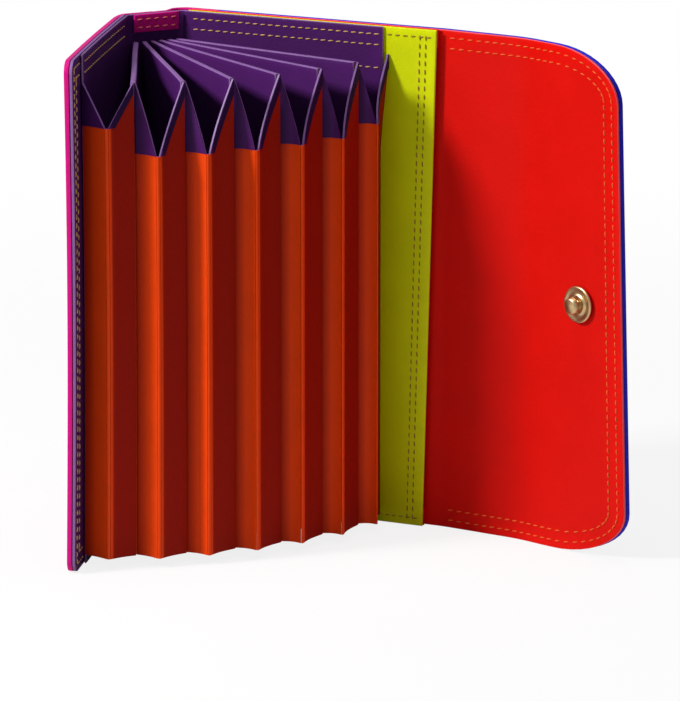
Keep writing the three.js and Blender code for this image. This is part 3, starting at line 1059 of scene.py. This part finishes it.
class CARDHOLDER_OT_stitching(bpy.types.Operator):
    """Double rows of stitches along the edges of cover, back, slip pocket and flap"""
    bl_idname = "card_holder.stitching"
    bl_label = "Stitching"

    def execute(self, context):
        insets = (sizes().row_outer, sizes().row_inner)
        border = [stitch for inset in insets for stitch in
                  edge_row(COVER_ROW_START, COVER_END, inset, COVER_CORNER_RADIUS)]
        beyond = [stitch for stitch in border if stitch[0].x > WALL_END + 0.6 * MM]
        within = [stitch for stitch in border if stitch[0].x < WALL_END - 0.8 * MM]
        flap = [stitch for inset in insets for stitch in
                edge_row(0.0, FLAP_END, inset, FLAP_CORNER_RADIUS)]
        hem, wall, slip, side, back = self.rows(insets)
        for name, laying, row, layer, face, spool, slot, tie in (
                ("cover_border", COVER_INSIDE, beyond, COVER_LINING, FAR,
                 "gold", "purple", "cover"),
                ("first_wall", COVER_INSIDE, within, FIRST_WALL, FAR, "gold", "purple", "cover"),
                ("cover_skin", COVER_OUTSIDE, border, COVER_SKIN, NEAR,
                 "pink", "magenta", "cover"),
                ("spine_hem", HEM_LAYING, hem, SPINE_HEM, NEAR, "pink", "magenta", "spine"),
                ("last_wall", WALL_LAYING, wall, LAST_WALL, NEAR, "gold", "purple", "back"),
                ("slip_pocket", SLIP_LAYING, slip, SLIP_PANEL, NEAR, "olive", "lime", "back"),
                ("flap_side_lining", BACK_LAYING, side, RED_LINING, NEAR,
                 "orange", "red", SIDE_BEND),
                ("back_skin", BACK_LAYING, back, BLUE_SKIN, FAR, "lilac", "blue", SIDE_BEND),
                ("flap_lining", FLAP_LAYING, flap, RED_LINING, NEAR, "orange", "red", FRONT_BEND),
                ("flap_skin", FLAP_LAYING, flap, BLUE_SKIN, FAR, "lilac", "blue", FRONT_BEND)):
            sewn = sew(f"{name}_stitches", laying, row, layer, face,
                       finish_of(f"{spool}_thread", thread))
            fit(sewn, f"{slot}_leather", tie)
        return {"FINISHED"}

    @staticmethod
    def rows(insets):
        """The straight rows of spine hem, last wall, slip pocket, flap side and back."""
        hem, wall, slip, side, back = [], [], [], [], []
        for inset in HEM_ROWS:
            z = HEIGHT - inset
            hem += straight_row((HEM_ROW_MARGIN, z), (SPINE_WIDTH - HEM_ROW_MARGIN, z))
        for inset in insets:
            for z, wall_end in ((HEIGHT - inset, WALL_ROW_END), (inset, WALL_FOOT_ROW_END)):
                wall += straight_row((WALL_ROW_START, z), (wall_end, z))
                side += straight_row((SIDE_ROW_START, z), (BACK_END, z))
                back += straight_row((BACK_ROW_START, z), (BACK_END, z))
            u = BACK_SKIN_START + inset
            back += straight_row((u, BACK_ROW_MARGIN), (u, HEIGHT - BACK_ROW_MARGIN))
        z = HEIGHT - SHORT_ROW_DROP
        wall += straight_row((SHORT_ROW_START, z), (WALL_ROW_END, z))
        for inset in SLIP_ROWS:
            u = SLIP_END - inset
            slip += straight_row((u, HEIGHT - SLIP_ROW_MARGIN), (u, SLIP_ROW_MARGIN))
        for z in (HEIGHT - insets[0], insets[0]):
            slip += straight_row((SLIP_LEVEL_START, z), (SLIP_END - SLIP_LEVEL_MARGIN, z))
        return hem, wall, slip, side, back


# Press stud

TURNED_SEGMENTS = 48


def turned(profile):
    """A turned part: the profile of (radius, height) points in millimetres, spun about local Y."""
    bm = bmesh.new()
    verts = [bm.verts.new((radius * MM, height * MM, 0)) for radius, height in profile]
    edges = [bm.edges.new(pair) for pair in zip(verts, verts[1:])]
    bmesh.ops.spin(bm, geom=verts + edges, cent=(0, 0, 0), axis=(0, 1, 0), dvec=(0, 0, 0),
                   angle=2 * math.pi, steps=TURNED_SEGMENTS, use_merge=True, use_duplicate=False)
    bmesh.ops.remove_doubles(bm, verts=bm.verts, dist=1e-6)
    bmesh.ops.recalc_face_normals(bm, faces=bm.faces)
    return bm


def arc(centre, radius, begin, end, count=8):
    """Profile points on an arc, angles in degrees."""
    angles = [math.radians(begin + (end - begin) * i / count) for i in range(count + 1)]
    return [(centre[0] + radius * math.cos(angle), centre[1] + radius * math.sin(angle))
            for angle in angles]


WASHER = [(0.0, 0.2), (3.7, 0.2), *arc((3.65, 0.55), 0.35, -90, 90),
          (3.2, 0.8), (2.7, 0.72), (2.2, 0.82), *arc((1.95, 0.75), 0.25, 60, 150, 4), (0.0, 1.0)]
KNOB = [(0.0, 0.9), (1.0, 0.9), (1.05, 1.5), (1.3, 1.75), *arc((1.15, 2.45), 0.72, -60, 90, 10),
        (0.8, 3.25), (0.4, 3.32), (0.0, 3.34)]
RING = [(2.4, -1.0), (2.4, 0.9), *arc((2.65, 0.9), 0.25, 180, 60, 5), (3.3, 1.0),
        *arc((3.8, 0.6), 0.4, 80, -80), (3.0, 0.2), (2.9, 0.1), (2.9, -1.0), (2.4, -1.0)]


class CARDHOLDER_OT_stud(bpy.types.Operator):
    """Press stud: dished base and knob on the flap, ring socket on the cover"""
    bl_idname = "card_holder.stud"
    bl_label = "Press stud"

    def execute(self, context):
        knob_spot = FLAP_END - STUD_INSET
        ring_spot = COVER_RUN + BACK_WIDTH - (FRONT_LENGTH - STUD_INSET)
        for name, profile, laying, u, layer, body, node_name in (
                ("stud_washer", WASHER, FLAP_LAYING, knob_spot, RED_LINING,
                 "flap_front", "stud_base"),
                ("stud_head", KNOB, FLAP_LAYING, knob_spot, RED_LINING,
                 "flap_front", "stud_knob"),
                ("stud_ring", RING, COVER_OUTSIDE, ring_spot, COVER_SKIN,
                 "cover", "stud_socket")):
            bm = turned(profile)
            point, angle = laying.path.at(u)
            rise = layer[NEAR] + laying.depth(u) + laying.bow(u, HEIGHT / 2)
            seat = Matrix.Translation(on_plan(point + left_of(angle) * rise))
            turn = Matrix.Rotation(angle, 4, "Z") @ Matrix.Rotation(math.pi, 4, "X")
            bmesh.ops.transform(bm, matrix=seat @ turn, verts=bm.verts)
            piece = into_object(name, bm, [finish_of("brass", stud_metal)])
            sharpen(piece, 0.9)
            fit(piece, "stud_metal", body, node_name)
        return {"FINISHED"}


# Stage

IMAGE_WIDTH = 680
FOCAL_PIXELS = 5427.8
SENSOR_WIDTH = 36.0
CAMERA_AZIMUTH = math.radians(25.165)
CAMERA_ELEVATION = math.radians(13.549)
CAMERA_DISTANCE = 1.2
CAMERA_TARGET = Vector((-17.689, 45.44, 33.743)) * MM
FLOOR_SIZE = 4.0
FLOOR_GAP = 0.1 * MM
LIGHT_TARGET = Vector((0.0, 0.0, 0.055))
LIGHTS = (
    # name, place, size, power
    ("Key light", (-0.475, -0.465, 0.52), 0.16, 7.2),
    ("Fill light", (0.75, -0.9, 0.55), 0.8, 0.6),
    ("Top light", (0.02, 0.0, 0.75), 0.5, 2.2),
)


def aim(thing, direction):
    thing.rotation_euler = direction.to_track_quat("-Z", "Y").to_euler()


class CARDHOLDER_OT_stage(bpy.types.Operator):
    """Pale floor, soft studio light and the camera"""
    bl_idname = "card_holder.stage"
    bl_label = "Stage"

    def execute(self, context):
        scene = context.scene
        scene.view_settings.view_transform = "Standard"
        self.camera(scene)
        self.floor()
        for light in LIGHTS:
            self.light(scene, *light)
        self.world(scene)
        return {"FINISHED"}

    def camera(self, scene):
        level = math.cos(CAMERA_ELEVATION)
        away = Vector((math.sin(CAMERA_AZIMUTH) * level, -math.cos(CAMERA_AZIMUTH) * level,
                       math.sin(CAMERA_ELEVATION)))
        data = bpy.data.cameras.new("Camera")
        data.sensor_fit = "HORIZONTAL"
        data.sensor_width = SENSOR_WIDTH
        data.lens = FOCAL_PIXELS * SENSOR_WIDTH / IMAGE_WIDTH
        data.clip_end = 20
        camera = bpy.data.objects.new("Camera", data)
        camera.location = CAMERA_TARGET + away * CAMERA_DISTANCE
        aim(camera, -away)
        scene.collection.objects.link(camera)
        scene.camera = camera

    def floor(self):
        bm = bmesh.new()
        bmesh.ops.create_grid(bm, x_segments=2, y_segments=2, size=FLOOR_SIZE)
        bmesh.ops.translate(bm, vec=(0, 0, -FLOOR_GAP), verts=bm.verts)
        floor = into_object("floor", bm, [finish_of("floor", backdrop)])

    def light(self, scene, name, spot, size, power):
        data = bpy.data.lights.new(name, "AREA")
        data.shape = "DISK"
        data.size = size
        data.energy = power
        lamp = bpy.data.objects.new(name, data)
        lamp.location = spot
        aim(lamp, LIGHT_TARGET - Vector(spot))
        scene.collection.objects.link(lamp)

    def world(self, scene):
        scene.world = bpy.data.worlds.new("World")
        shader = Shader(scene.world)
        path = shader.node("ShaderNodeLightPath")
        shown = path["Is Camera Ray"] + path["Is Glossy Ray"] * 0.25 + path["Is Transmission Ray"]
        strength = shown.math("MINIMUM", shown, 1.0) * 0.9 + 0.1
        sky = shader.node("ShaderNodeBackground", {}, {
            "Color": (1, 1, 1, 1), "Strength": strength})["Background"]
        shader.node("ShaderNodeOutputWorld", {}, {"Surface": sky})


class CARDHOLDER_PT_panel(bpy.types.Panel):
    """Sizes, colours and pieces of the card holder"""
    bl_idname = "CARDHOLDER_PT_panel"
    bl_label = "Card holder"
    bl_space_type = "VIEW_3D"
    bl_region_type = "UI"
    bl_category = "Card holder"

    def draw(self, context):
        for group in (context.scene.holder_sizes, context.scene.holder_colours):
            box = self.layout.box()
            for key in group.__annotations__:
                box.prop(group, key)
        for operator in OPERATORS:
            self.layout.operator(operator.bl_idname)


OPERATORS = (
    CARDHOLDER_OT_stage,
    CARDHOLDER_OT_cover,
    CARDHOLDER_OT_back,
    CARDHOLDER_OT_flap,
    CARDHOLDER_OT_dividers,
    CARDHOLDER_OT_gussets,
    CARDHOLDER_OT_stitching,
    CARDHOLDER_OT_stud,
)
CLASSES = (HolderColours, HolderSizes, *OPERATORS, CARDHOLDER_PT_panel)


def register():
    for cls in CLASSES:
        bpy.utils.register_class(cls)
    bpy.types.Scene.holder_colours = bpy.props.PointerProperty(type=HolderColours)
    bpy.types.Scene.holder_sizes = bpy.props.PointerProperty(type=HolderSizes)


def unregister():
    del bpy.types.Scene.holder_sizes
    del bpy.types.Scene.holder_colours
    for cls in reversed(CLASSES):
        bpy.utils.unregister_class(cls)


def main():
    register()
    bpy.ops.card_holder.stage()
    bpy.ops.card_holder.cover()
    bpy.ops.card_holder.back()
    bpy.ops.card_holder.flap()
    bpy.ops.card_holder.dividers()
    bpy.ops.card_holder.gussets()
    bpy.ops.card_holder.stitching()
    bpy.ops.card_holder.stud()


if __name__ == "__main__":
    main()
